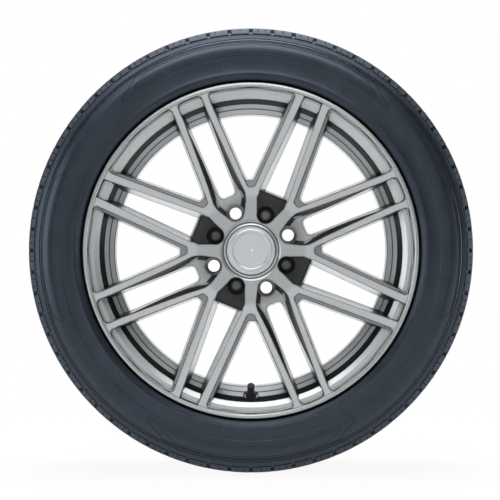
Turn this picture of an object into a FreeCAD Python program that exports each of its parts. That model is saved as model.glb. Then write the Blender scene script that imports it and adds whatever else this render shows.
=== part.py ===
"""Car wheel with its tyre: cast alloy wheel, tyre, centre cap, lug-hole plugs and snap-in valve.

Millimetres. The origin is the middle of the tyre on the spin axis, which is Y.
The outer face looks along -Y, +Z is up and the valve is at the bottom.
"""
import FreeCAD
import Part
import math
import os
import Sketcher

doc = FreeCAD.newDocument("car_wheel")

# Driving sizes: name, value and what it is. Angles are in degrees.
SIZES = [
    ("tyre_radius", 317.15, "tread radius at the crown, 225/45R17"),
    ("tyre_half_width", 112.5, "half of the section width"),
    ("tread_half_width", 95, "half of the tread width"),
    ("tread_drop", 6, "fall of the tread from crown to shoulder"),
    ("tread_depth", 7.5, "depth of the tread grooves"),
    ("groove_half_width", 4.5, "half width of a groove around the tread"),
    ("inner_groove_y", 18, "place of the inner grooves"),
    ("outer_groove_y", 54, "place of the outer grooves"),
    ("crown_thickness", 15, "tread and belts together"),
    ("shoulder_blocks", 64, "blocks along one shoulder"),
    ("shoulder_slot_width", 5, "gap between shoulder blocks"),
    ("bead_seat_radius", 218.3, "17 inch rim bead seat"),
    ("flange_height", 17.3, "height of the J flange over the bead seat"),
    ("rim_half_width", 95.25, "half of the 7.5 inch width between flanges"),
    ("flange_thickness", 10.75, "flange with its rounded lip"),
    ("bead_gap", 0.25, "gap between tyre bead and rim"),
    ("well_radius", 200.5, "drop centre"),
    ("barrel_thickness", 7, "wall of the barrel"),
    ("flank_angle", 40, "slope of the front side of the drop centre"),
    ("pad_y", -40, "mounting pad, 40 mm outboard of the mid-plane"),
    ("pad_radius", 76, "mounting pad"),
    ("hub_face_y", -108, "front of the hub"),
    ("crease_radius", 75, "where the hub face turns into the spokes"),
    ("spoke_face_y", -103.5, "front of the spokes at the rim"),
    ("spoke_back_y", -64, "back of the spokes"),
    ("shelf_y", -98.5, "floor of the step beside the spokes"),
    ("window_radius", 228.5, "outer end of all windows"),
    ("window_corner", 5, "corner radius of the windows at the rim"),
    ("bore_radius", 36.3, "centre bore for the hub spigot"),
    ("cap_seat_radius", 39.5, "counterbore for the centre cap"),
    ("cap_seat_y", -98, "floor of that counterbore"),
    ("lug_circle_radius", 57.15, "open lug holes, 4 x 114.3"),
    ("lug_hole_radius", 8.5, "shank hole"),
    ("lug_seat_radius", 12.4, "wide end of the conical seat"),
    ("lug_seat_y", -54, "wide end of the conical seat"),
    ("plug_circle_radius", 54, "blanked lug holes, 4 x 108"),
    ("plug_seat_y", -60, "where the plug flange rests"),
    ("plug_radius", 12.15, "plug flange"),
    ("plug_gap", 0.25, "gap round plug flange and shank"),
    ("scoop_floor_y", -85, "floor of the scoops at the open lug holes"),
    ("pocket_floor_y", -66, "floor of the pockets at the blanked lug holes"),
    ("cap_radius", 38.2, "centre cap"),
    ("cap_gap", 0.25, "gap between cap and bore"),
    ("clip_count", 6, "snap legs of the cap"),
    ("valve_y", -66, "valve axis on the tyre side of the rim"),
    ("valve_hole_radius", 5.75, "valve hole"),
    ("valve_neck_radius", 5.6, "rubber inside the valve hole"),
    ("valve_bore_radius", 2.2, "bore of the brass stem"),
    ("stem_radius", 2.9, "brass stem inside the rubber"),
    ("stem_thread_radius", 3.85, "8V1 thread outside"),
    ("thread_gap", 0.35, "gap between cap and stem"),
    ("cap_wall", 0.9, "wall of the valve cap"),
    ("pin_radius", 0.7, "valve pin"),
    ("pin_travel", 1.2, "stroke of the valve pin"),
]

sheet = doc.addObject("Spreadsheet::Sheet", "Sizes")
for row, (alias, value, note) in enumerate(SIZES, start=1):
    sheet.set("A%d" % row, note)
    sheet.set("B%d" % row, str(value))
    sheet.setAlias("B%d" % row, alias)
doc.recompute()


class Size:
    """A number together with the spreadsheet expression that gives it."""

    def __init__(self, value, text):
        self.value = float(value)
        self.text = text

    def join(self, other, sign, flip=False):
        other = size(other)
        first, second = (other, self) if flip else (self, other)
        work = {
            "+": lambda a, b: a + b,
            "-": lambda a, b: a - b,
            "*": lambda a, b: a * b,
            "/": lambda a, b: a / b,
        }[sign]
        return Size(work(first.value, second.value), "(%s %s %s)" % (first.text, sign, second.text))

    def __add__(self, other):
        return self.join(other, "+")

    def __radd__(self, other):
        return self.join(other, "+", True)

    def __sub__(self, other):
        return self.join(other, "-")

    def __rsub__(self, other):
        return self.join(other, "-", True)

    def __mul__(self, other):
        return self.join(other, "*")

    def __rmul__(self, other):
        return self.join(other, "*", True)

    def __truediv__(self, other):
        return self.join(other, "/")

    def __neg__(self):
        return 0 - self


def size(value):
    return value if isinstance(value, Size) else Size(value, "%.6g" % value)


def tangent(angle):
    """The tangent of an angle in degrees."""
    return Size(math.tan(math.radians(angle.value)), "tan(%s * 1 deg)" % angle.text)


S = {alias: Size(value, "Sizes." + alias) for alias, value, note in SIZES}


def new_body(name):
    return doc.addObject("PartDesign::Body", name)


def origin_item(body, role):
    return [item for item in body.Origin.OriginFeatures if item.Role == role][0]


def new_sketch(body, name, plane, base=(0, 0, 0), axis=(0, 0, 1), angle=0):
    """A sketch on an origin plane, shifted and turned within that plane's own axes."""
    sketch = body.newObject("Sketcher::SketchObject", name)
    sketch.AttachmentSupport = [(origin_item(body, plane), "")]
    sketch.MapMode = "FlatFace"
    shift = [size(item) for item in base]
    turn = FreeCAD.Rotation(FreeCAD.Vector(*axis), angle)
    sketch.AttachmentOffset = FreeCAD.Placement(FreeCAD.Vector(*[item.value for item in shift]), turn)
    for letter, item in zip("xyz", shift):
        if "Sizes" in item.text:
            sketch.setExpression("AttachmentOffset.Base." + letter, item.text)
    return sketch


def fix_size(sketch, constraint, name, amount):
    index = sketch.addConstraint(constraint)
    sketch.renameConstraint(index, name)
    if "Sizes" in amount.text:
        sketch.setExpression("Constraints." + name, amount.text)


def draw_outline(sketch, corners):
    """A closed outline. Each corner is (x, y) or (x, y, rounding)."""
    count = len(corners)
    spots = [(size(corner[0]), size(corner[1])) for corner in corners]
    first = sketch.GeometryCount
    for i in range(count):
        x, y = spots[i]
        to_x, to_y = spots[(i + 1) % count]
        start = FreeCAD.Vector(x.value, y.value, 0)
        end = FreeCAD.Vector(to_x.value, to_y.value, 0)
        sketch.addGeometry(Part.LineSegment(start, end), False)
    for i in range(count):
        before = first + (i - 1) % count
        sketch.addConstraint(Sketcher.Constraint("Coincident", before, 2, first + i, 1))
    for i in range(count):
        x, y = spots[i]
        tag = "corner%d" % (first + i)
        fix_size(sketch, Sketcher.Constraint("DistanceX", -1, 1, first + i, 1, x.value), tag + "_across", x)
        fix_size(sketch, Sketcher.Constraint("DistanceY", -1, 1, first + i, 1, y.value), tag + "_along", y)
    for i in range(count):
        if len(corners[i]) > 2:
            rounding = size(corners[i][2])
            sketch.fillet(first + i, 1, rounding.value, True, True)
            arc = [k for k, item in enumerate(sketch.Geometry) if item.TypeId == "Part::GeomArcOfCircle"][-1]
            tag = "rounding%d" % (first + i)
            fix_size(sketch, Sketcher.Constraint("Radius", arc, rounding.value), tag, rounding)


def revolve(body, name, sketch, kind="PartDesign::Revolution", axis="H_Axis"):
    feature = body.newObject(kind, name)
    feature.Profile = sketch
    feature.ReferenceAxis = (sketch, [axis])
    feature.Angle = 360
    return feature


def cut_pocket(body, name, sketch, depth, taper=0):
    feature = body.newObject("PartDesign::Pocket", name)
    feature.Profile = sketch
    depth = size(depth)
    feature.Length = depth.value
    if "Sizes" in depth.text:
        feature.setExpression("Length", depth.text)
    feature.TaperAngle = -taper
    return feature


def ring_pattern(body, name, feature, count, alias=None):
    pattern = body.newObject("PartDesign::PolarPattern", name)
    pattern.Originals = [feature]
    pattern.Axis = (origin_item(body, "Y_Axis"), [""])
    pattern.Angle = 360
    pattern.Occurrences = count
    if alias:
        pattern.setExpression("Occurrences", "Sizes." + alias)
    body.Tip = pattern
    return pattern


def mirrored(points):
    """An outline symmetrical about its first axis, from the half with y above zero."""
    other = [(point[0], -point[1]) + tuple(point[2:]) for point in reversed(points)]
    return list(points) + other


# The tyre: one moulded ring. Its section is drawn as along the axis, then radius.
near_tyre = new_body("near_tyre")
crown = S["tyre_radius"]
edge_y = S["tread_half_width"]
wide_y = S["tyre_half_width"]
seat_r = S["bead_seat_radius"] + S["bead_gap"]
flange_y = S["rim_half_width"] - S["bead_gap"]
flange_r = S["bead_seat_radius"] + S["flange_height"]


def tread_radius(y):
    """Radius of the tread at a distance from the mid-plane."""
    return crown - S["tread_drop"] * y * y / (edge_y * edge_y)


def groove_corners(y):
    half = S["groove_half_width"]
    floor = tread_radius(y) - S["tread_depth"]
    return [
        (y - half, tread_radius(y - half)),
        (y - half * 0.7, floor, 1),
        (y + half * 0.7, floor, 1),
        (y + half, tread_radius(y + half)),
    ]


outer_half = groove_corners(S["inner_groove_y"]) + groove_corners(S["outer_groove_y"])
outer_half += [
    (edge_y, tread_radius(edge_y), 7),
    (edge_y + 5.5, crown - 15.5, 8),
    (wide_y - 7.6, crown - 24.5, 20),
    (wide_y - 0.6, crown - 34, 20),
    (wide_y, crown - 51.5, 20),
    (wide_y - 0.8, flange_r + 13),
    (wide_y + 0, flange_r + 10.5, 2.5),
    (wide_y - 3, flange_r + 8.5, 2),
    (flange_y + 8.3, flange_r + 2.6, 3),
    (flange_y + 1.2, flange_r + 0.6, 3),
    (flange_y, flange_r - 6),
    (flange_y, seat_r, 6.2),
    (flange_y - 20.4, seat_r - 1.7, 2),
    (flange_y - 20.4, seat_r + 4, 3),
]
inner_half = [
    (flange_y - 13, seat_r + 14, 10),
    (flange_y - 2, seat_r + 24, 20),
    (wide_y - 9, crown - 52, 22),
    (edge_y + 1, crown - 27, 20),
    (edge_y - 30, crown - S["crown_thickness"] - 3.5),
]
tyre_section = new_sketch(near_tyre, "tyre_section", "YZ_Plane")
mid_top = [(0, crown)]
mid_under = [(0, crown - S["crown_thickness"])]
draw_outline(tyre_section, mid_top + outer_half + inner_half + mid_under)
revolve(near_tyre, "half_ring", tyre_section)

# Slots between the shoulder blocks, cut from the tread edge down over the shoulder.
slot_half = S["shoulder_slot_width"] / 2
slot = new_sketch(near_tyre, "shoulder_slot", "YZ_Plane", base=(0, 0, -slot_half))
draw_outline(slot, [
    (edge_y - 21, crown + 4),
    (edge_y - 19, crown - 9),
    (edge_y - 6, crown - 12.5),
    (edge_y + 1.2, crown - 17.5),
    (edge_y + 14, crown - 15),
    (edge_y + 14, crown + 4),
])
slot_cut = cut_pocket(near_tyre, "shoulder_slot_cut", slot, S["shoulder_slot_width"])
slot_cut.Reversed = True
ring_pattern(near_tyre, "shoulder_slots", slot_cut, 64, "shoulder_blocks")

# The other half is its mirror image, and the two are one ring.
far_tyre = doc.addObject("Part::Mirroring", "far_tyre")
far_tyre.Source = near_tyre
far_tyre.Normal = FreeCAD.Vector(0, 1, 0)
tyre = doc.addObject("Part::MultiFuse", "tyre")
tyre.Shapes = [near_tyre, far_tyre]
tyre.Refine = True

# The wheel: one casting. The spoke disc is turned, then its windows are cut.
wheel = new_body("alloy_wheel")
front = S["hub_face_y"] - 4
disc_section = new_sketch(wheel, "disc_section", "YZ_Plane")
draw_outline(disc_section, [
    (S["pad_y"], S["bore_radius"]),
    (S["hub_face_y"], S["bore_radius"]),
    (S["hub_face_y"], S["crease_radius"]),
    (S["spoke_face_y"] - 1.3, S["crease_radius"] + 55, 200),
    (S["spoke_face_y"], S["window_radius"] - 38, 200),
    (S["spoke_face_y"], S["window_radius"] + 1),
    (S["spoke_face_y"] + 5.5, S["window_radius"] + 1),
    (S["spoke_face_y"] + 5.5, S["bead_seat_radius"] - 3),
    (S["spoke_back_y"], S["bead_seat_radius"] - 5.5),
    (S["spoke_back_y"] + 4, S["pad_radius"] + 14),
    (S["pad_y"] - 14, S["pad_radius"] + 5),
    (S["pad_y"], S["pad_radius"]),
])
revolve(wheel, "spoke_disc", disc_section)


def window_sketch(name, plane_y, angle):
    """A sketch facing outward at a distance from the mid-plane, its first axis at an angle."""
    return new_sketch(wheel, name, "XZ_Plane", base=(0, 0, -plane_y), angle=angle)


rim_end = S["window_radius"]
corner_r = S["window_corner"]
deep = S["pad_y"] - 10

# The window between the two branches of an arm, and the step on one side of it.
for label, angle, side in (("left", 45, 1), ("right", 0, -1)):
    step = window_sketch(label + "_step", front, angle)
    draw_outline(step, [
        (88.7, -side * 4.4, 4),
        (104, -side * 11.1),
        (206, -side * 56, 3),
        (220.3, -side * 60.8, corner_r),
        (rim_end, 0),
        (219.3, side * 64, corner_r),
        (88.7, side * 4.8, 4),
    ])
    step_cut = cut_pocket(wheel, label + "_step_cut", step, S["shelf_y"] - front)
    ring_pattern(wheel, label + "_steps", step_cut, 4)
    vee = window_sketch(label + "_window", S["shelf_y"], angle)
    draw_outline(vee, [
        (98.5, -side * 7.2, 3),
        (106, -side * 11.4),
        (218.5, -side * 60.6, corner_r),
        (rim_end - 1, 0),
        (218.5, side * 59.4, corner_r),
        (98.5, side * 3.6, 3),
    ])
    vee_cut = cut_pocket(wheel, label + "_window_cut", vee, deep - S["shelf_y"], 5)
    ring_pattern(wheel, label + "_windows", vee_cut, 4)

# Slots between neighbouring arms: a scooped pocket with an open slot where a lug hole is open.
scoop = window_sketch("open_scoop", front, 22.5)
draw_outline(scoop, mirrored([
    (46, 9, 8),
    (74, 25, 14),
    (102, 22.9, 60),
    (224.6, 19.2, corner_r),
    (rim_end - 0.2, 6),
]))
scoop_cut = cut_pocket(wheel, "open_scoop_cut", scoop, S["scoop_floor_y"] - front, 14)
ring_pattern(wheel, "open_scoops", scoop_cut, 4)
lane = window_sketch("open_slot", S["spoke_face_y"], 22.5)
draw_outline(lane, mirrored([
    (78.5, 16, 11),
    (226, 18, corner_r),
    (rim_end - 0.2, 6),
]))
lane_cut = cut_pocket(wheel, "open_slot_cut", lane, deep - S["spoke_face_y"], 6)
ring_pattern(wheel, "open_slots", lane_cut, 4)

# A stepped pocket with a wide slot where a lug hole is blanked.
pit = window_sketch("blank_pocket", front, 67.5)
draw_outline(pit, mirrored([
    (45, 6, 6),
    (50, 11.2, 4),
    (72.5, 20.6, 3),
    (84, 20),
]))
pit_cut = cut_pocket(wheel, "blank_pocket_cut", pit, S["pocket_floor_y"] - front)
ring_pattern(wheel, "blank_pockets", pit_cut, 4)
wide = window_sketch("blank_slot", front, 67.5)
draw_outline(wide, mirrored([
    (79.5, 22),
    (rim_end + 4, 14.4),
]))
wide_cut = cut_pocket(wheel, "blank_slot_cut", wide, deep - front, 8.5)
ring_pattern(wheel, "blank_slots", wide_cut, 4)

# The barrel with its flanges, drop centre and bead seats is turned onto the spokes.
well_r = S["well_radius"]
wall = S["barrel_thickness"]
lip_y = S["rim_half_width"] + S["flange_thickness"]
rim_y = S["rim_half_width"]
bead_r = S["bead_seat_radius"]
flank_r = bead_r - 1.3
flank_y = -(rim_y - 22.25)
flank_run = (flank_r - well_r) / tangent(S["flank_angle"])
barrel = new_sketch(wheel, "barrel_section", "YZ_Plane")
draw_outline(barrel, [
    (S["spoke_face_y"] - 0.5, S["window_radius"] + 0.5, 1),
    (-lip_y, S["window_radius"] + 2.5, 1),
    (-lip_y + 1, flange_r - 1.2, 1),
    (-lip_y + 5, flange_r, 2),
    (-rim_y - 1.8, flange_r - 0.8, 2),
    (-rim_y, flange_r - 6),
    (-rim_y, bead_r, 6.5),
    (-rim_y + 19.8, bead_r - 1.7),
    (flank_y, flank_r, 2),
    (flank_y + flank_run, well_r, 5),
    (-22, well_r, 8),
    (-2, bead_r - 6, 10),
    (rim_y - 23, bead_r - 2.5),
    (rim_y - 21, bead_r - 1.2, 2),
    (rim_y - 19.8, bead_r - 1.7),
    (rim_y, bead_r, 6.5),
    (rim_y, flange_r - 6),
    (rim_y + 1.8, flange_r - 0.8, 2),
    (lip_y - 5, flange_r, 2),
    (lip_y, flange_r - 2, 2),
    (lip_y, bead_r + 9, 2),
    (rim_y + 2, bead_r - 5, 6),
    (rim_y - 26, bead_r - wall - 2),
    (0, bead_r - 6 - wall, 12),
    (-20, well_r - wall, 8),
    (flank_y + flank_run - 2.4, well_r - wall, 5),
    (flank_y - 1.5, flank_r - wall - 3.4, 3),
    (-rim_y + 3, bead_r - 5.6, 2),
    (-rim_y - 1.7, bead_r + 1.2),
    (-rim_y - 3.7, S["window_radius"] - 2, 1),
])
revolve(wheel, "barrel", barrel)


def drill(body, name, angle, centre_r, section):
    """A stepped round hole parallel to the spin axis. The section is (y, radius) from front to back."""
    hole = new_sketch(body, name, "YZ_Plane", axis=(1, 0, 0), angle=90 - angle)
    outline = [(section[0][0], centre_r)]
    outline += [(y, centre_r + radius) for y, radius in section]
    outline += [(section[-1][0], centre_r)]
    draw_outline(hole, outline)
    line_from = FreeCAD.Vector(outline[0][0].value, centre_r.value, 0)
    line_to = FreeCAD.Vector(outline[-1][0].value, centre_r.value, 0)
    line = hole.addGeometry(Part.LineSegment(line_from, line_to), True)
    hole.addConstraint(Sketcher.Constraint("Coincident", line, 1, len(outline) - 1, 2))
    hole.addConstraint(Sketcher.Constraint("Coincident", line, 2, len(outline) - 1, 1))
    return revolve(body, name + "_cut", hole, "PartDesign::Groove", "Axis0")


lug_slope = tangent(size(30))
lug_throat_y = S["lug_seat_y"] + (S["lug_seat_radius"] - S["lug_hole_radius"]) / lug_slope
lug_hole = drill(wheel, "open_lug_hole", 22.5, S["lug_circle_radius"], [
    (front, S["lug_seat_radius"]),
    (S["lug_seat_y"], S["lug_seat_radius"]),
    (lug_throat_y, S["lug_hole_radius"]),
    (S["pad_y"] + 5, S["lug_hole_radius"]),
])
ring_pattern(wheel, "open_lug_holes", lug_hole, 4)
plug_hole_r = S["plug_radius"] + S["plug_gap"]
blank_hole = drill(wheel, "blank_lug_hole", 67.5, S["plug_circle_radius"], [
    (front, plug_hole_r),
    (S["plug_seat_y"], plug_hole_r),
    (S["plug_seat_y"], S["lug_hole_radius"]),
    (S["pad_y"] + 5, S["lug_hole_radius"]),
])
ring_pattern(wheel, "blank_lug_holes", blank_hole, 4)

# The counterbore for the cap, with a chamfer at its mouth and a snap groove behind it.
cap_bore = new_sketch(wheel, "cap_bore", "YZ_Plane")
draw_outline(cap_bore, [
    (front, 0),
    (front, S["cap_seat_radius"] + 6.5),
    (S["hub_face_y"] - 0.01, S["cap_seat_radius"] + 3),
    (S["hub_face_y"] + 2, S["cap_seat_radius"]),
    (S["cap_seat_y"], S["cap_seat_radius"]),
    (S["cap_seat_y"], S["bore_radius"]),
    (S["cap_seat_y"] + 6, S["bore_radius"]),
    (S["cap_seat_y"] + 8, S["bore_radius"] + 2.2),
    (S["cap_seat_y"] + 12, S["bore_radius"] + 2.2),
    (S["cap_seat_y"] + 14, S["bore_radius"]),
    (S["pad_y"] - 4, S["bore_radius"]),
    (S["pad_y"] + 2, S["bore_radius"] + 6),
    (S["pad_y"] + 2, 0),
])
revolve(wheel, "cap_bore_cut", cap_bore, "PartDesign::Groove")

# The valve frame: its first axis runs along the valve from the tyre side towards the tip.
valve_r = flank_r - (S["valve_y"] - flank_y) * tangent(S["flank_angle"])
valve_turn = 90 + S["flank_angle"].value


def valve_sketch(body, name):
    sketch = new_sketch(body, name, "YZ_Plane", base=(S["valve_y"], -valve_r, 0), angle=valve_turn)
    sketch.setExpression("AttachmentOffset.Rotation.Angle", "90 + Sizes.flank_angle")
    return sketch


valve_hole = valve_sketch(wheel, "valve_hole")
draw_outline(valve_hole, [
    (-6, 0),
    (-6, 10.5),
    (0, 10.5),
    (0, S["valve_hole_radius"]),
    (wall - 0.5, S["valve_hole_radius"]),
    (wall - 0.5, 10.5),
    (wall + 16, 10.5),
    (wall + 16, 0),
])
wheel_holed = revolve(wheel, "valve_hole_cut", valve_hole, "PartDesign::Groove")

# Centre cap: one moulding with a ring of snap legs behind its face.
cap = new_body("centre_cap")
cap_r = S["cap_radius"]
cap_back = S["cap_seat_y"] - S["cap_gap"]
cap_front = S["hub_face_y"]
leg_r = S["bore_radius"] - S["cap_gap"]
cap_section = new_sketch(cap, "cap_section", "YZ_Plane")
draw_outline(cap_section, [
    (cap_front + 1.2, 0),
    (cap_front + 1.6, 24.6),
    (cap_front + 0.9, 26, 0.4),
    (cap_front + 0.9, 28.6, 0.4),
    (cap_front + 1.6, 30),
    (cap_front + 1.9, cap_r - 4.4),
    (cap_front + 3.1, cap_r - 3.7),
    (cap_front + 2.2, cap_r - 2.8),
    (cap_front + 3.4, cap_r),
    (cap_back, cap_r),
    (cap_back, cap_r - 5),
    (cap_front + 5.5, cap_r - 6.5),
    (cap_front + 4.5, 0),
])
revolve(cap, "cap_face", cap_section)
snap_r = S["bore_radius"] + 2 - S["cap_gap"]
leg_back = S["cap_seat_y"] + 12.5
leg = new_sketch(cap, "leg", "YZ_Plane", base=(0, 0, -6))
draw_outline(leg, [
    (cap_front + 4, leg_r - 3),
    (cap_back + 0.2, leg_r - 3),
    (leg_back - 4, leg_r - 3),
    (leg_back - 4, leg_r - 2),
    (leg_back - 2, leg_r - 2),
    (leg_back - 2, leg_r - 3),
    (leg_back, leg_r - 3),
    (leg_back, leg_r - 0.8),
    (leg_back - 2, snap_r - 1.2),
    (leg_back - 4, snap_r - 1.2),
    (leg_back - 6.2, leg_r - 1),
    (cap_back, leg_r - 1),
    (cap_front + 4, leg_r - 1),
])
leg_pad = cap.newObject("PartDesign::Pad", "cap_leg")
leg_pad.Profile = leg
leg_pad.Length = 12
ring_pattern(cap, "cap_legs", leg_pad, 6, "clip_count")

# Spring ring: round wire that presses the snap legs outward from inside.
spring_ring = new_body("cap_spring_ring")
wire_r = size(0.9)
ring_section = new_sketch(spring_ring, "ring_section", "YZ_Plane")
ring_centre_y = leg_back - 3
ring_centre_r = leg_r - 3.05
ring_wire = Part.Circle(FreeCAD.Vector(ring_centre_y.value, ring_centre_r.value, 0), FreeCAD.Vector(0, 0, 1), 0.9)
ring_section.addGeometry(ring_wire, False)
fix_size(ring_section, Sketcher.Constraint("Radius", 0, wire_r.value), "wire", wire_r)
place_y = Sketcher.Constraint("DistanceX", -1, 1, 0, 3, ring_centre_y.value)
place_r = Sketcher.Constraint("DistanceY", -1, 1, 0, 3, ring_centre_r.value)
fix_size(ring_section, place_y, "wire_along", ring_centre_y)
fix_size(ring_section, place_r, "wire_out", ring_centre_r)
revolve(spring_ring, "ring_wire", ring_section)

# Four plugs in the blanked lug holes.
plug_bodies = []
shank_r = S["lug_hole_radius"] - S["plug_gap"]
plug_back = S["plug_seat_y"] - 0.1
for number in range(1, 5):
    plug = new_body("lug_hole_plug_%d" % number)
    plug_bodies.append(plug)
    plug_angle = 67.5 + 90 * (number - 1)
    plug_section = new_sketch(plug, "plug_section_%d" % number, "YZ_Plane", axis=(1, 0, 0), angle=90 - plug_angle)
    centre_r = S["plug_circle_radius"]
    plug_outline = [
        (plug_back - 3.2, centre_r),
        (plug_back - 3.2, centre_r + 6),
        (plug_back - 5, centre_r + 6.6, 0.3),
        (plug_back - 5, centre_r + 9.2, 0.5),
        (plug_back - 3.4, centre_r + 9.8),
        (plug_back - 3.8, centre_r + S["plug_radius"], 0.6),
        (plug_back, centre_r + S["plug_radius"]),
        (plug_back, centre_r + shank_r),
        (plug_back + 9, centre_r + shank_r, 1),
        (plug_back + 9, centre_r + shank_r - 2.2),
        (plug_back - 1.6, centre_r + shank_r - 2.2),
        (plug_back - 1.6, centre_r),
    ]
    draw_outline(plug_section, plug_outline)
    last = len(plug_outline) - 1
    axis_from = FreeCAD.Vector(plug_outline[0][0].value, centre_r.value, 0)
    axis_to = FreeCAD.Vector(plug_outline[-1][0].value, centre_r.value, 0)
    axis_line = plug_section.addGeometry(Part.LineSegment(axis_from, axis_to), True)
    plug_section.addConstraint(Sketcher.Constraint("Coincident", axis_line, 1, last, 2))
    plug_section.addConstraint(Sketcher.Constraint("Coincident", axis_line, 2, last, 1))
    revolve(plug, "plug_turned_%d" % number, plug_section, axis="Axis0")

# Snap-in valve. Distances run along the valve from the tyre side of the rim.
neck_end = wall - 0.5
rubber = new_body("valve_rubber")
stem_gap = size(0.02)
rubber_in = S["stem_radius"] + stem_gap
rubber_section = valve_sketch(rubber, "rubber_section")
draw_outline(rubber_section, [
    (-5, rubber_in),
    (-5, 6),
    (-3, 9, 1),
    (-0.1, 9.4, 0.5),
    (-0.1, S["valve_neck_radius"]),
    (neck_end + 0.1, S["valve_neck_radius"]),
    (neck_end + 0.1, 7.2, 0.5),
    (neck_end + 2.2, 7.6, 1),
    (neck_end + 4, 6, 1.5),
    (neck_end + 11.6, 4.5, 0.5),
    (neck_end + 11.6, rubber_in),
])
revolve(rubber, "rubber_turned", rubber_section)

thread_from = neck_end + 11.7
stem_tip = thread_from + 7.5
stem = new_body("valve_stem")
stem_section = valve_sketch(stem, "stem_section")
draw_outline(stem_section, [
    (-4.5, S["valve_bore_radius"] - 0.4),
    (-4.5, S["stem_radius"]),
    (thread_from, S["stem_radius"]),
    (thread_from, S["stem_thread_radius"], 0.3),
    (stem_tip, S["stem_thread_radius"], 0.5),
    (stem_tip, S["valve_bore_radius"]),
    (stem_tip - 13, S["valve_bore_radius"]),
    (stem_tip - 13.4, S["valve_bore_radius"] - 0.4),
])
revolve(stem, "stem_turned", stem_section)

core_gap = size(0.05)
core = new_body("valve_core")
core_r = S["valve_bore_radius"] - core_gap
core_in = S["pin_radius"] + 0.35
core_section = valve_sketch(core, "core_section")
draw_outline(core_section, [
    (stem_tip - 12.5, core_in),
    (stem_tip - 12.5, core_r - 0.4),
    (stem_tip - 10.5, core_r),
    (stem_tip - 1.5, core_r),
    (stem_tip - 1.5, core_in),
    (stem_tip - 4.6, core_in),
    (stem_tip - 4.6, core_r - 0.5),
    (stem_tip - 10.2, core_r - 0.5),
    (stem_tip - 10.2, core_in),
])
revolve(core, "core_turned", core_section)

pin = new_body("valve_pin")
pin_section = valve_sketch(pin, "pin_section")
pin_tip = stem_tip - 0.4
draw_outline(pin_section, [
    (stem_tip - 14.1, 0),
    (stem_tip - 14.1, core_in + 0.15),
    (stem_tip - 12.9, core_in + 0.3),
    (stem_tip - 12.6, S["pin_radius"]),
    (stem_tip - 6.5, S["pin_radius"]),
    (stem_tip - 6.5, core_in + 0.25),
    (stem_tip - 5.2, core_in + 0.25),
    (stem_tip - 5.2, S["pin_radius"]),
    (pin_tip, S["pin_radius"], 0.2),
    (pin_tip, 0),
])
revolve(pin, "pin_turned", pin_section)

valve_cap = new_body("valve_cap")
cap_in = S["stem_thread_radius"] + S["thread_gap"]
cap_out = cap_in + S["cap_wall"]
cap_start = thread_from + 0.4
cap_end = stem_tip + 3.6
cap_wall_section = valve_sketch(valve_cap, "cap_wall_section")
draw_outline(cap_wall_section, [
    (cap_start, cap_in),
    (cap_start, cap_out - 0.3, 0.2),
    (cap_start + 1.5, cap_out),
    (cap_end - 1.5, cap_out),
    (cap_end, cap_out - 1.3, 0.6),
    (cap_end, 0),
    (cap_end - 1.4, 0),
    (cap_end - 1.4, cap_in),
])
revolve(valve_cap, "cap_turned", cap_wall_section)

seal = new_body("valve_cap_seal")
seal_section = valve_sketch(seal, "seal_section")
draw_outline(seal_section, [
    (stem_tip + 0.35, S["valve_bore_radius"] - 0.4),
    (stem_tip + 0.35, cap_in - 0.3),
    (cap_end - 1.7, cap_in - 0.3),
    (cap_end - 1.7, S["valve_bore_radius"] - 0.4),
])
revolve(seal, "seal_turned", seal_section)

# The spring is wound round the pin, between the core's step and the pin's collar.
spring = new_body("valve_spring")
wire_section = valve_sketch(spring, "spring_section")
spring_from = stem_tip - 9.95
spring_r = S["pin_radius"] + 0.55
spring_wire = size(0.15)
spring_spot = FreeCAD.Vector(spring_from.value, spring_r.value, 0)
wire_section.addGeometry(Part.Circle(spring_spot, FreeCAD.Vector(0, 0, 1), spring_wire.value), False)
fix_size(wire_section, Sketcher.Constraint("Radius", 0, spring_wire.value), "wire", spring_wire)
spring_along = Sketcher.Constraint("DistanceX", -1, 1, 0, 3, spring_from.value)
spring_out = Sketcher.Constraint("DistanceY", -1, 1, 0, 3, spring_r.value)
fix_size(wire_section, spring_along, "wire_along", spring_from)
fix_size(wire_section, spring_out, "wire_out", spring_r)
coil = spring.newObject("PartDesign::AdditiveHelix", "coil")
coil.Profile = wire_section
coil.ReferenceAxis = (wire_section, ["H_Axis"])
coil.Mode = 0
coil.Pitch = 0.8
coil.Height = 3.2

PARTS = [tyre, wheel, cap, spring_ring] + plug_bodies
PARTS += [rubber, stem, core, pin, spring, valve_cap, seal]

doc.recompute()
for item in doc.Objects:
    if "Invalid" in item.State or "Error" in item.State:
        raise RuntimeError("%s did not compute: %s" % (item.Name, item.State))
os.makedirs("parts", exist_ok=True)
for part in PARTS:
    if part.Shape.isNull() or not part.Shape.isValid():
        raise RuntimeError("%s has no valid shape" % part.Name)
    part.Shape.exportStep("parts/%s.step" % part.Name)
    box = part.Shape.BoundBox
    print("%-18s solids %d volume %.1f cm3 Y %.1f..%.1f R %.1f" % (
        part.Name, len(part.Shape.Solids), part.Shape.Volume / 1000, box.YMin, box.YMax, box.XMax))
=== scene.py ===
"""Looks of a car wheel with tyre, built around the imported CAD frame. Metres, wheel axis along Y."""
import math

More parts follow.
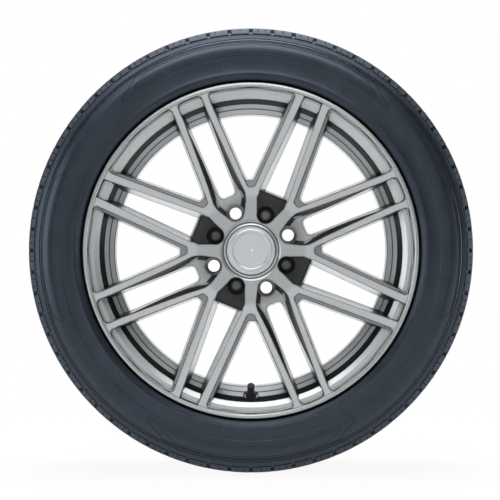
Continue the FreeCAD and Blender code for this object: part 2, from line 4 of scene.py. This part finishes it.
import bpy
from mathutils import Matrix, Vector


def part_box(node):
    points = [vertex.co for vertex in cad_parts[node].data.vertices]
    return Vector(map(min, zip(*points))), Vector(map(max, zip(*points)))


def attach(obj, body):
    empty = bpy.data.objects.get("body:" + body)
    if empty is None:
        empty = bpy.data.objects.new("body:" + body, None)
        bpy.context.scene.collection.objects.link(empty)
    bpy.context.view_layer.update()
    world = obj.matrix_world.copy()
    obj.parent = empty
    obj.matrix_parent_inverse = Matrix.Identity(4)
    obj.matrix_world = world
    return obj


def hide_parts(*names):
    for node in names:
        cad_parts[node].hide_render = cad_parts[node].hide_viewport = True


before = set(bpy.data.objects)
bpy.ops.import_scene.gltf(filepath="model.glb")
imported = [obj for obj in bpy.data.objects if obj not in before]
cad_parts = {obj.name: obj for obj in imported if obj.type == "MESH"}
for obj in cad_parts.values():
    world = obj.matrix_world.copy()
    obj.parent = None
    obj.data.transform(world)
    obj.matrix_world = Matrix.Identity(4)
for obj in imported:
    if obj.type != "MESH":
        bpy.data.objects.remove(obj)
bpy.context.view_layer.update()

MM = 0.001

# Tyre sizes in millimetres, from the CAD model. The crown is 0.1 lower, and the sidewalls, which carry
# raised lines, are 0.8 nearer the mid-plane, so that every piece stays inside the CAD model's box.
CROWN = 317.05
EDGE_Y = 95.0
WIDE_Y = 111.7
TREAD_DROP = 6.0
TREAD_DEPTH = 7.5
FLANGE_R = 235.6
FLANGE_Y = 95.0
SEAT_R = 218.55
GROOVE_HALF = 4.5
GROOVES = (18.0, 54.0)
PITCHES = 64
SIDEWALL_STEPS = 360
SHARP_ANGLE = math.radians(32)


def tread_radius(y):
    """Radius of the tread's top at a distance from the mid-plane."""
    return CROWN - TREAD_DROP * (y / EDGE_Y) ** 2


def rounded(corners, step=9.0):
    """An open line of (x, y) points from corners (x, y, rounding), with arcs cut into short steps."""
    line = []
    for i, corner in enumerate(corners):
        here = Vector(corner[:2])
        radius = corner[2] if len(corner) > 2 else 0
        if not radius or i in (0, len(corners) - 1):
            line.append(tuple(here))
            continue
        back = (Vector(corners[i - 1][:2]) - here).normalized()
        ahead = (Vector(corners[i + 1][:2]) - here).normalized()
        half = 0.5 * math.acos(max(-1.0, min(1.0, back.dot(ahead))))
        run = radius / math.tan(half)
        centre = here + (back + ahead).normalized() * (radius / math.sin(half))
        start = here + back * run - centre
        sweep = math.pi - 2 * half
        if start.x * ahead.y - start.y * ahead.x < 0:
            sweep = -sweep
        count = max(2, int(abs(math.degrees(sweep)) / step) + 1)
        for k in range(count + 1):
            turn = sweep * k / count
            cosine, sine = math.cos(turn), math.sin(turn)
            spot = Vector((start.x * cosine - start.y * sine, start.x * sine + start.y * cosine))
            line.append(tuple(centre + spot))
    return line


def new_object(name, vertices, faces, material, body="wheel"):
    """A smooth mesh piece from points in millimetres, on a body of the frame and in a material slot."""
    mesh = bpy.data.meshes.new(name)
    mesh.from_pydata([[value * MM for value in vertex] for vertex in vertices], [], faces)
    mesh.validate()
    mesh.update()
    item = bpy.data.objects.new(name, mesh)
    bpy.context.scene.collection.objects.link(item)
    mesh.materials.append(material)
    for polygon in mesh.polygons:
        polygon.use_smooth = True
    mesh.set_sharp_from_angle(angle=SHARP_ANGLE)
    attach(item, body)
    return item


def at_angle(y, r, angle):
    """A point in the frame; the angle runs from +X towards +Z."""
    return (r * math.cos(angle), y, r * math.sin(angle))


def ring_faces(rows, columns):
    """Quads of a closed ring: rows run round its section, columns round the axis."""
    faces = []
    for column in range(columns):
        here = column * rows
        following = (column + 1) % columns * rows
        for row in range(rows):
            after = (row + 1) % rows
            faces.append((here + row, here + after, following + after, following + row))
    return faces


# Materials. Radii, widths and places along Y are in metres, and a shade multiplies the colour.
WHITE = (1, 1, 1)
BLACK = (0, 0, 0)
BLUE_GLOSS = (0.68, 0.81, 1.0)
NOISE_ROUGHNESS = 0.55
GRAIN_STRENGTH = 0.35
BEVEL_SAMPLES = 4
DISC_EDGE = 0.04
# The hub inside this radius is painted darker than the spokes: painted shade for the light that the spokes'
# tilted faces catch.
HUB_RADIUS = 0.0755
HUB_PAINTED_SHADE = 0.79
PLUG_COUNT = 4
PLUG_CENTRE_RADIUS = 0.0058
PLUG_GREY = 0.26
PLUG_BLACK = 0.004

# Sockets of a Mix node that mixes colours.
MIX_A = 6
MIX_B = 7
MIX_RESULT = 2

# Painted shade and painted reflection by the paint's lean, which is 0 on walls along the wheel's axis and 1
# on
# flat faces: (lean, shade). Slopes between them get painted shade, and walls along the axis are painted
# lighter as a painted reflection of the white backdrop.
SIDE_PAINTED_SHADE = 0.05
WALL_PAINTED_REFLECTION = (0.165, 1.5)
SIDE_PAINTED_TONES = ((0.21, SIDE_PAINTED_SHADE), (0.43, SIDE_PAINTED_SHADE), (0.51, 1), (0.70, 1))
FACE_TONE = (0.80, 0.94)

# Painted shade along edges, where the softened normal turns away from the plain one: dark lines that stand
# in for rounded edges reflecting dark surroundings.
EDGE_PAINTED_SHADE = 0.07
EDGE_WIDTH = 0.003
EDGE_TURN = (0.86, 0.985)

# Painted shade on the floors of the pockets and of the steps, between two places along Y.
POCKET_FLOOR = (-0.0675, -0.0645)
POCKET_PAINTED_SHADE = 0.16
SHELF_FLOOR = (-0.0987, -0.0983)
SHELF_PAINTED_SHADE = 0.6
FLOOR_BAND = (0.3, 0.7)

# Painted shadow on the steep walls of the spokes near the barrel, by radius and by place along Y.
RIM_PAINTED_SHADOW = 0.06
RIM_LEAN = (0.165, 0.2)
RIM_REACH = (0.186, 0.196)
RIM_DEPTH = (-0.060, -0.056)


def node_material(name):
    """A new material with its nodes, links and shader."""
    material = bpy.data.materials.new(name)
    material.use_nodes = True
    nodes = material.node_tree.nodes
    return material, nodes, material.node_tree.links, nodes["Principled BSDF"]


def add_noise(nodes, links, scale, detail=4.0):
    coords = nodes.new("ShaderNodeTexCoord")
    noise = nodes.new("ShaderNodeTexNoise")
    noise.inputs["Scale"].default_value = scale
    noise.inputs["Detail"].default_value = detail
    noise.inputs["Roughness"].default_value = NOISE_ROUGHNESS
    links.new(coords.outputs["Object"], noise.inputs["Vector"])
    return noise


def add_ramp(nodes, links, source, low, high, low_at=0.3, high_at=0.7):
    ramp = nodes.new("ShaderNodeValToRGB")
    ramp.color_ramp.elements[0].position = low_at
    ramp.color_ramp.elements[1].position = high_at
    ramp.color_ramp.elements[0].color = (*low, 1)
    ramp.color_ramp.elements[1].color = (*high, 1)
    links.new(source, ramp.inputs["Fac"])
    return ramp


def add_range(nodes, links, source, low, high):
    rerange = nodes.new("ShaderNodeMapRange")
    rerange.inputs["To Min"].default_value = low
    rerange.inputs["To Max"].default_value = high
    links.new(source, rerange.inputs["Value"])
    return rerange


def add_bump(nodes, links, source, strength, distance, normal=None):
    bump = nodes.new("ShaderNodeBump")
    bump.inputs["Strength"].default_value = strength
    bump.inputs["Distance"].default_value = distance
    links.new(source, bump.inputs["Height"])
    if normal is not None:
        links.new(normal, bump.inputs["Normal"])
    return bump


def add_bevel(nodes, radius):
    soft = nodes.new("ShaderNodeBevel")
    soft.samples = BEVEL_SAMPLES
    soft.inputs["Radius"].default_value = radius
    return soft.outputs["Normal"]


def add_product(nodes, links, first, second):
    """The product of two colours."""
    mix = nodes.new("ShaderNodeMix")
    mix.data_type = "RGBA"
    mix.blend_type = "MULTIPLY"
    mix.inputs["Factor"].default_value = 1.0
    links.new(first, mix.inputs[MIX_A])
    links.new(second, mix.inputs[MIX_B])
    return mix.outputs[MIX_RESULT]


def add_spread(nodes, links, centre):
    """Distance from a line along Y through a centre (x, z), both in metres."""
    coords = nodes.new("ShaderNodeTexCoord")
    flat = nodes.new("ShaderNodeVectorMath")
    flat.operation = "MULTIPLY"
    flat.inputs[1].default_value = (1, 0, 1)
    links.new(coords.outputs["Object"], flat.inputs[0])
    spread = nodes.new("ShaderNodeVectorMath")
    spread.operation = "DISTANCE"
    spread.inputs[1].default_value = (centre[0], 0, centre[1])
    links.new(flat.outputs["Vector"], spread.inputs[0])
    return spread.outputs["Value"]


def add_depth(nodes, links, low, high):
    """0 at one place along Y, in metres, and 1 at another."""
    coords = nodes.new("ShaderNodeTexCoord")
    parts = nodes.new("ShaderNodeSeparateXYZ")
    links.new(coords.outputs["Object"], parts.inputs["Vector"])
    span = add_range(nodes, links, parts.outputs["Y"], 0, 1)
    span.inputs["From Min"].default_value = low
    span.inputs["From Max"].default_value = high
    return span.outputs["Result"]


def add_painted_rim_shadow(nodes, links, lean):
    """A grey of painted shadow, dark on the steep walls of the spokes where they run into the barrel."""
    spread = add_spread(nodes, links, (0, 0))
    reach = add_ramp(nodes, links, spread, WHITE, (RIM_PAINTED_SHADOW,) * 3, *RIM_REACH)
    steep = add_ramp(nodes, links, lean, WHITE, BLACK, *RIM_LEAN)
    depth = add_depth(nodes, links, *RIM_DEPTH)
    in_front = add_ramp(nodes, links, depth, WHITE, BLACK, 0, 1)
    where = add_product(nodes, links, steep.outputs["Color"], in_front.outputs["Color"])
    mix = nodes.new("ShaderNodeMix")
    mix.data_type = "RGBA"
    mix.inputs[MIX_A].default_value = (*WHITE, 1)
    links.new(where, mix.inputs["Factor"])
    links.new(reach.outputs["Color"], mix.inputs[MIX_B])
    return mix.outputs[MIX_RESULT]


def add_painted_shade_and_reflection(nodes, links, normal):
    """A grey of painted shade and reflection: dark on back-leaning slopes and edges, lighter on walls along
    the axis.
    """
    wall_lean, wall_reflection = WALL_PAINTED_REFLECTION
    face_lean, face_shade = FACE_TONE
    parts = nodes.new("ShaderNodeSeparateXYZ")
    links.new(normal, parts.inputs["Vector"])
    lean = nodes.new("ShaderNodeMath")
    lean.operation = "ABSOLUTE"
    links.new(parts.outputs["Y"], lean.inputs[0])
    shade = add_ramp(
        nodes, links, lean.outputs["Value"], (wall_reflection,) * 3, (face_shade,) * 3, wall_lean, face_lean)
    for place, grey in SIDE_PAINTED_TONES:
        shade.color_ramp.elements.new(place).color = (grey, grey, grey, 1)
    geometry = nodes.new("ShaderNodeNewGeometry")
    bend = nodes.new("ShaderNodeVectorMath")
    bend.operation = "DOT_PRODUCT"
    links.new(add_bevel(nodes, EDGE_WIDTH), bend.inputs[0])
    links.new(geometry.outputs["Normal"], bend.inputs[1])
    line = add_ramp(nodes, links, bend.outputs["Value"], (EDGE_PAINTED_SHADE,) * 3, WHITE, *EDGE_TURN)
    lines = add_product(nodes, links, shade.outputs["Color"], line.outputs["Color"])
    return add_product(nodes, links, lines, add_painted_rim_shadow(nodes, links, lean.outputs["Value"]))


def speckled(name, low, high, rough, scale, bump_scale, bump_height, metallic=0.0, bevel=0.0, tint=None,
             sides=False, shine=0.5, disc=None):
    """A material whose colour, gloss and surface vary finely, with softened edges where bevel is set.

    The scales are those of the speckle and of the surface grain. Sides turns on the painted shade and
    painted reflection on walls and edges. A disc (centre, radius, inner shade, outer shade) changes the tone
    round a line along Y.
    """
    material, nodes, links, shader = node_material(name)
    tone = add_noise(nodes, links, scale)
    ramp = add_ramp(nodes, links, tone.outputs["Fac"], low, high)
    colour = ramp.outputs["Color"]
    gloss = add_range(nodes, links, tone.outputs["Fac"], rough[0], rough[1])
    links.new(gloss.outputs["Result"], shader.inputs["Roughness"])
    shader.inputs["Metallic"].default_value = metallic
    shader.inputs["Specular IOR Level"].default_value = shine
    if tint:
        shader.inputs["Specular Tint"].default_value = (*tint, 1)
    grain = add_noise(nodes, links, bump_scale, detail=3.0)
    edge = None
    if bevel:
        edge = add_bevel(nodes, bevel)
    if disc:
        centre, radius, inner, outer = disc
        spread = add_spread(nodes, links, centre)
        low_at = radius * (1 - DISC_EDGE)
        high_at = radius * (1 + DISC_EDGE)
        round_tone = add_ramp(nodes, links, spread, (inner,) * 3, (outer,) * 3, low_at, high_at)
        colour = add_product(nodes, links, colour, round_tone.outputs["Color"])
    # Painted shade and painted reflection on walls and edges, which also set the gloss's tint.
    if sides:
        shade = add_painted_shade_and_reflection(nodes, links, edge)
        colour = add_product(nodes, links, colour, shade)
        links.new(shade, shader.inputs["Specular Tint"])
    links.new(colour, shader.inputs["Base Color"])
    bump = add_bump(nodes, links, grain.outputs["Fac"], GRAIN_STRENGTH, bump_height, edge)
    links.new(bump.outputs["Normal"], shader.inputs["Normal"])
    return material


def paint_floor_shade(material, low, high, grey):
    """Paint shade on a flat floor that lies between two places along Y: painted shade in a recess."""
    nodes, links = material.node_tree.nodes, material.node_tree.links
    shader = nodes["Principled BSDF"]
    depth = add_depth(nodes, links, low, high)
    tone = add_ramp(nodes, links, depth, WHITE, WHITE, 0, 1)
    for place in FLOOR_BAND:
        tone.color_ramp.elements.new(place).color = (grey, grey, grey, 1)
    for name in ("Base Color", "Specular Tint"):
        socket = shader.inputs[name]
        darker = add_product(nodes, links, socket.links[0].from_socket, tone.outputs["Color"])
        links.new(darker, socket)


rubber = speckled(
    "tyre_rubber_look", (0.008, 0.0105, 0.015), (0.014, 0.0175, 0.0235), (0.32, 0.42), 38, 900, 0.0002,
    tint=BLUE_GLOSS, shine=0.65)
tread_rubber = speckled(
    "tread_rubber_look", (0.026, 0.031, 0.040), (0.040, 0.046, 0.057), (0.46, 0.58), 45, 700, 0.0003,
    tint=BLUE_GLOSS)
# The disc paints shade on the hub, inside HUB_RADIUS.
paint = speckled(
    "wheel_paint_look", (0.49, 0.503, 0.51), (0.545, 0.558, 0.565), (0.28, 0.34), 900, 1500, 0.00002,
    metallic=0.5, bevel=0.0007, sides=True, shine=0.25, disc=((0, 0), HUB_RADIUS, HUB_PAINTED_SHADE, 1))
# Painted shade on the floors of the pockets and of the steps.
paint_floor_shade(paint, *POCKET_FLOOR, POCKET_PAINTED_SHADE)
paint_floor_shade(paint, *SHELF_FLOOR, SHELF_PAINTED_SHADE)
# The cap's paint carries the same painted shade and painted reflection on walls and edges.
cap_paint = speckled(
    "cap_paint_look", (0.545, 0.572, 0.582), (0.585, 0.612, 0.622), (0.30, 0.36), 900, 1500, 0.00002,
    metallic=0.5, bevel=0.0004, sides=True)
valve_black = speckled(
    "valve_look", (0.010, 0.010, 0.012), (0.022, 0.022, 0.025), (0.42, 0.55), 300, 1800, 0.00005,
    bevel=0.0003)
brass = speckled(
    "brass_look", (0.62, 0.46, 0.20), (0.75, 0.58, 0.28), (0.25, 0.38), 700, 2500, 0.00003,
    metallic=1.0)
steel = speckled(
    "wire_look", (0.50, 0.50, 0.51), (0.60, 0.60, 0.61), (0.25, 0.4), 700, 2500, 0.00003,
    metallic=1.0)

CAD_LOOKS = {
    "alloy_wheel": paint,
    "centre_cap": cap_paint,
    "cap_spring_ring": steel,
    "valve_rubber": valve_black,
    "valve_stem": brass,
    "valve_core": brass,
    "valve_pin": brass,
    "valve_spring": steel,
    "valve_cap": valve_black,
    "valve_cap_seal": valve_black,
}
for number in range(1, PLUG_COUNT + 1):
    plug = "lug_hole_plug_%d" % number
    low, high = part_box(plug)
    middle = ((low[0] + high[0]) / 2, (low[2] + high[2]) / 2)
    CAD_LOOKS[plug] = speckled(
        plug + "_look", (0.80, 0.80, 0.84), (0.95, 0.95, 0.98), (0.38, 0.5), 300, 1800, 0.00005,
        bevel=0.0003, shine=0.2, disc=(middle, PLUG_CENTRE_RADIUS, PLUG_GREY, PLUG_BLACK))
for node, look in CAD_LOOKS.items():
    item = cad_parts[node]
    item.data.materials.clear()
    item.data.materials.append(look)

# Tyre casing: sidewalls, beads and inner liner, one closed ring.
SEAM = (100.9, 300.6)
side_line = rounded([
    (80, 303.0),
    (97.0, 301.2, 2),
    SEAM,
    (101.9, 298.6),
    (103.3, 295.9),
    (102.7, 295.3),
    (103.6, 294.6),
    (104.6, 293.1),
    (104.1, 292.4),
    (105.2, 291.9),
    (WIDE_Y - 0.9, 283.2, 16),
    (WIDE_Y, 272.0, 40),
    (WIDE_Y - 0.1, 265.6),
    (WIDE_Y - 0.7, 265.0),
    (WIDE_Y - 1.1, 250.2),
    (WIDE_Y - 0.3, 248.6),
    (WIDE_Y + 0.1, 246.2, 1.5),
    (WIDE_Y - 2.6, 244.4, 1.5),
    (FLANGE_Y + 8.3, FLANGE_R + 2.6, 3),
    (FLANGE_Y + 1.2, FLANGE_R + 0.7, 3),
    (FLANGE_Y, FLANGE_R - 6),
    (FLANGE_Y, SEAT_R, 6.2),
    (FLANGE_Y - 20.4, SEAT_R - 1.7, 2),
    (FLANGE_Y - 20.4, SEAT_R + 4, 3),
    (FLANGE_Y - 13, SEAT_R + 14, 10),
    (FLANGE_Y - 2, SEAT_R + 24, 20),
    (WIDE_Y - 8.5, CROWN - 52, 22),
    (EDGE_Y + 1, CROWN - 27, 20),
    (EDGE_Y - 30, CROWN - 18.5),
    (0.01, CROWN - 15),
])
casing_line = side_line + [(-y, r) for y, r in reversed(side_line)]
casing_points = []
for column in range(SIDEWALL_STEPS):
    angle = 2 * math.pi * column / SIDEWALL_STEPS
    casing_points += [at_angle(y, r, angle) for y, r in casing_line]
casing = new_object(
    "tyre_casing", casing_points, ring_faces(len(casing_line), SIDEWALL_STEPS), rubber)

# The part of the section that raised lines lie on, as (radius, y) from the tread inwards.
WALL_FOOT_R = FLANGE_R + 6
WALL_START_Y = 100
outer_wall = []
for y, r in side_line:
    if r < WALL_FOOT_R:
        break
    if y > WALL_START_Y:
        outer_wall.append((r, y))

# Raised lines: steps along a slanting end, corners of a rib's section and how far its foot is sunk.
SLANT_STEPS = 8
RIB_CORNERS = 4
RIB_FOOT = 0.3


def wall_y(r):
    """Distance of the outer sidewall from the mid-plane at a radius."""
    for (high, high_y), (low, low_y) in zip(outer_wall, outer_wall[1:]):
        if low <= r <= high:
            return low_y + (high_y - low_y) * (r - low) / max(high - low, 0.001)
    return outer_wall[-1][1]


def arc(r, start, end):
    """Points (radius, angle) along an arc, about one for each degree, from angles in degrees."""
    count = max(2, round(abs(end - start)))
    return [(r, math.radians(start + (end - start) * k / count)) for k in range(count + 1)]


def slant(start, end):
    """Points on a slanting line between two (radius, angle in degrees) ends, without the ends."""
    line = []
    for k in range(1, SLANT_STEPS):
        share = k / SLANT_STEPS
        bow = share * share * (3 - 2 * share)
        r = start[0] + (end[0] - start[0]) * share
        turn = start[1] + (end[1] - start[1]) * bow
        line.append((r, math.radians(turn)))
    return line


def panel(low, high, start, end, lean):
    """Outline of a panel between two radii whose ends lean inwards."""
    line = arc(low, start, end)
    line += slant((low, end), (high, end - lean))
    line += arc(high, end - lean, start + lean)
    line += slant((high, start + lean), (low, start))
    return line


def raised_line(path, width, height, closed, side):
    """A low rib along a path of (radius, angle) on one sidewall, as points and faces."""
    flat = [Vector((r * math.cos(angle), r * math.sin(angle))) for r, angle in path]
    last = len(flat) - 1
    points = []
    for i, spot in enumerate(flat):
        before = flat[i - 1] if closed or i else spot
        after = flat[(i + 1) % len(flat)] if closed or i < last else spot
        along = (after - before).normalized()
        across = Vector((-along.y, along.x)) * (width / 2)
        for share, lift in ((1, -RIB_FOOT), (0.5, height), (-0.5, height), (-1, -RIB_FOOT)):
            place = spot + across * share
            points.append((place.x, side * (wall_y(place.length) + lift), place.y))
    faces = ring_faces(RIB_CORNERS, len(flat))
    if not closed:
        tail = RIB_CORNERS * last
        faces = [face for face in faces if max(face) - min(face) < 2 * RIB_CORNERS]
        faces += [(3, 2, 1, 0), (tail, tail + 1, tail + 2, tail + 3)]
    if side > 0:
        faces = [tuple(reversed(face)) for face in faces]
    return points, faces


# Raised lines moulded on both sidewalls, panel frames and short radial ticks: (path, width, height, closed).
LINES = [
    (panel(273.0, 291.5, 46, 131, 6.5), 1.6, 0.75, True),
    (panel(276.5, 288.5, 51, 126, 5.0), 1.1, 0.55, True),
    (panel(273.0, 291.5, 238, 302, 6.5), 1.6, 0.75, True),
    (panel(276.5, 288.5, 243, 297, 5.0), 1.1, 0.55, True),
    (panel(279.5, 291.5, 157, 201, 2.5), 1.4, 0.7, True),
    (panel(279.5, 291.5, -20, 16, 2.5), 1.4, 0.7, True),
]
TICK_TURNS = range(20, 360, 40)
TICK_RADII = (252, 256, 260, 264)
for degrees in TICK_TURNS:
    turn = math.radians(degrees)
    LINES.append(([(r, turn) for r in TICK_RADII], 0.9, 0.4, False))
line_points, line_faces = [], []
for side in (-1, 1):
    for path, width, height, closed in LINES:
        points, faces = raised_line(path, width, height, closed, side)
        line_faces += [tuple(len(line_points) + index for index in face) for face in faces]
        line_points += points
relief = new_object("tyre_side_lines", line_points, line_faces, rubber)


# Tread band: ribs, grooves, shoulder blocks and sipes. Lengths are in millimetres.
BLOCK_Y = 87.0
SHOULDER_ROUNDING = 5.5
SHOULDER_FOOT = (100.4, 303.4)
SQUARE_CUT_Y = 90


def tread_line():
    """Half of the tread's section from the middle out: (y, r, slot depth, sipe depth)."""
    line = []

    def top(y, slot=0.0, sipe=0.0):
        line.append((y, tread_radius(y), slot, sipe))

    def groove(y):
        floor = tread_radius(y) - TREAD_DEPTH
        top(y - GROOVE_HALF)
        for spot in (y - GROOVE_HALF * 0.7, y + GROOVE_HALF * 0.7):
            line.append((spot, floor, 0, 0))
        top(y + GROOVE_HALF)

    top(4.0)
    top(9.0)
    groove(GROOVES[0])
    top(26.0)
    top(26.4, 0, 4)
    top(36.0, 0, 4)
    top(45.6, 0, 4)
    top(46.0)
    groove(GROOVES[1])
    top(66.0)
    top(73.8)
    top(74.2, 6.0, 3.5)
    top(80.0, 7.0, 4)
    top(BLOCK_Y, 8.2, 4)
    shoulder = rounded([
        (BLOCK_Y, tread_radius(BLOCK_Y)),
        (EDGE_Y, tread_radius(EDGE_Y), SHOULDER_ROUNDING),
        SHOULDER_FOOT,
    ], step=14)[1:]
    for index, (y, r) in enumerate(shoulder):
        share = index / (len(shoulder) - 1)
        line.append((y, r, 9.0 - 4.2 * share, 3.6 - 2.0 * share))
    line.append((98.6, 302.9, 0, 0))
    line.append((98.8, 301.9, 0, 0))
    line.append((100.75, 301.6, 0, 0))
    line.append((SEAM[0] + 0.15, SEAM[1] - 0.1, 0, 0))
    line.append((SEAM[0] - 4.5, SEAM[1] - 0.6, 0, 0))
    line.append((70.0, 303.8, 0, 0))
    return line


half_band = tread_line()
band_line = half_band + [(-y, r, slot, sipe) for y, r, slot, sipe in reversed(half_band)]

# Cuts run straight in on the tread, and square to the surface on the shoulder.
normals = []
for row, (y, r, slot, sipe) in enumerate(band_line):
    before = band_line[row - 1]
    after = band_line[(row + 1) % len(band_line)]
    along = Vector((after[0] - before[0], after[1] - before[1])).normalized()
    normals.append((-along.y, along.x) if abs(y) > SQUARE_CUT_Y else (0.0, 1.0))

# Cuts across one block: (place along the tread from the middle of the slot, half width, kind).
MEAN_R = 312
PITCH_MM = 2 * math.pi * MEAN_R / PITCHES
LONG_BLOCK = [(0.0, 2.5, "slot"), (15.3, 0.6, "sipe")]
SPLIT_BLOCK = [(0.0, 2.5, "slot"), (10.2, 0.5, "sipe"), (20.4, 0.5, "sipe")]

# Tops and feet of a cut's two walls: (share of the half width, share of the depth).
CUT_WALLS = ((-1.12, 0), (-0.88, 1), (0.88, 1), (1.12, 0))
PLAIN_PLACES = (6.0, 25.6)
columns = []
for pitch in range(PITCHES):
    cuts = LONG_BLOCK if pitch % 2 else SPLIT_BLOCK
    for middle, half_width, kind in cuts:
        for side, depth in CUT_WALLS:
            columns.append((pitch * PITCH_MM + middle + side * half_width, kind, depth))
    for plain in PLAIN_PLACES:
        columns.append((pitch * PITCH_MM + plain, "plain", 0))
columns.sort()
band_points = []
for place, kind, depth in columns:
    angle = math.pi / 2 - place / (PITCH_MM * PITCHES) * 2 * math.pi
    for (y, r, slot, sipe), (normal_y, normal_r) in zip(band_line, normals):
        sink = depth * {"slot": slot, "sipe": sipe, "plain": 0}[kind]
        band_points.append(at_angle(y - normal_y * sink, r - normal_r * sink, angle))
band_faces = [tuple(reversed(face)) for face in ring_faces(len(band_line), len(columns))]
band = new_object("tyre_tread", band_points, band_faces, tread_rubber)
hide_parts("tyre")
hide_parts("tyre")
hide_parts("tyre")

# Stage: pale floors and backdrop, soft light, camera. Lengths are in metres.
STAGE_GREY = 0.8
STAGE_ROUGHNESS = 0.8
FLOOR_WHITE = 0.93
FLOOR_GAP = 0.0005
FAR_FLOOR_DROP = 0.001
COOL = (0.92, 0.96, 1.0)
CAMERA_Y = -2.606


def white_look(name, share):
    """A pale matt surface. A share of what the camera and reflections see of it is plain white."""
    look, nodes, links, shader = node_material(name)
    shader.inputs["Base Color"].default_value = (STAGE_GREY, STAGE_GREY, STAGE_GREY, 1)
    shader.inputs["Roughness"].default_value = STAGE_ROUGHNESS
    emission = nodes.new("ShaderNodeEmission")
    path = nodes.new("ShaderNodeLightPath")
    seen = path.outputs["Is Camera Ray"]
    for ray in ("Is Glossy Ray", "Is Transmission Ray"):
        either = nodes.new("ShaderNodeMath")
        either.operation = "MAXIMUM"
        links.new(seen, either.inputs[0])
        links.new(path.outputs[ray], either.inputs[1])
        seen = either.outputs[0]
    white = nodes.new("ShaderNodeMath")
    white.operation = "MULTIPLY"
    white.inputs[1].default_value = share
    links.new(seen, white.inputs[0])
    mix = nodes.new("ShaderNodeMixShader")
    links.new(white.outputs[0], mix.inputs[0])
    links.new(shader.outputs[0], mix.inputs[1])
    links.new(emission.outputs[0], mix.inputs[2])
    links.new(mix.outputs[0], nodes["Material Output"].inputs["Surface"])
    return look


def stage_plane(name, size, location, share, tilt=0.0):
    """A white plane of the studio."""
    bpy.ops.mesh.primitive_plane_add(size=size, location=location, rotation=(tilt, 0, 0))
    plane = bpy.context.object
    plane.name = name
    plane.data.materials.append(white_look(name + "_look", share))


# The near floor takes the wheel's shadow, and the far floor under it stays white.
FLOOR_Z = -CROWN * MM - FLOOR_GAP
stage_plane("floor", 1.6, (0, 0.05, FLOOR_Z), FLOOR_WHITE)
stage_plane("far_floor", 9.0, (0, 0.05, FLOOR_Z - FAR_FLOOR_DROP), 1.0)
stage_plane("backdrop", 3.6, (0, 5.0, 0.2), 1.0, math.pi / 2)

world = bpy.data.worlds.new("studio")
bpy.context.scene.world = world
world.use_nodes = True
surround = world.node_tree.nodes["Background"]
surround.inputs["Color"].default_value = (0.93, 0.96, 1.0, 1)
surround.inputs["Strength"].default_value = 0.05


def soft_light(name, place, width, height, power, colour=(1, 1, 1)):
    """A soft oval lamp that looks at the middle of the wheel."""
    data = bpy.data.lights.new(name, "AREA")
    data.shape = "ELLIPSE"
    data.size = width
    data.size_y = height
    data.energy = power
    data.color = colour
    item = bpy.data.objects.new(name, data)
    bpy.context.scene.collection.objects.link(item)
    item.location = place
    item.rotation_euler = (-Vector(place)).to_track_quat("-Z", "Y").to_euler()


soft_light("front", (0.0, -3.6, 1.15), 3.2, 3.2, 17)
soft_light("key", (-0.15, -1.35, 2.0), 3.2, 1.5, 50)
soft_light("overhead", (0.0, 0.4, 2.3), 2.0, 1.4, 80, COOL)
soft_light("left", (-2.1, -0.9, 0.3), 1.4, 1.4, 14, COOL)
soft_light("right", (2.3, 0.2, 0.0), 1.2, 1.2, 16, COOL)

camera_data = bpy.data.cameras.new("camera")
camera_data.sensor_fit = "HORIZONTAL"
camera_data.sensor_width = 36
camera_data.lens = 129.1
camera_data.shift_x = -0.0019
camera_data.shift_y = 0.001
camera_data.clip_end = 50
camera = bpy.data.objects.new("camera", camera_data)
bpy.context.scene.collection.objects.link(camera)
camera.location = (0, CAMERA_Y, 0)
camera.rotation_euler = (math.pi / 2, 0, 0)
bpy.context.scene.camera = camera
bpy.context.scene.view_settings.view_transform = "Standard"
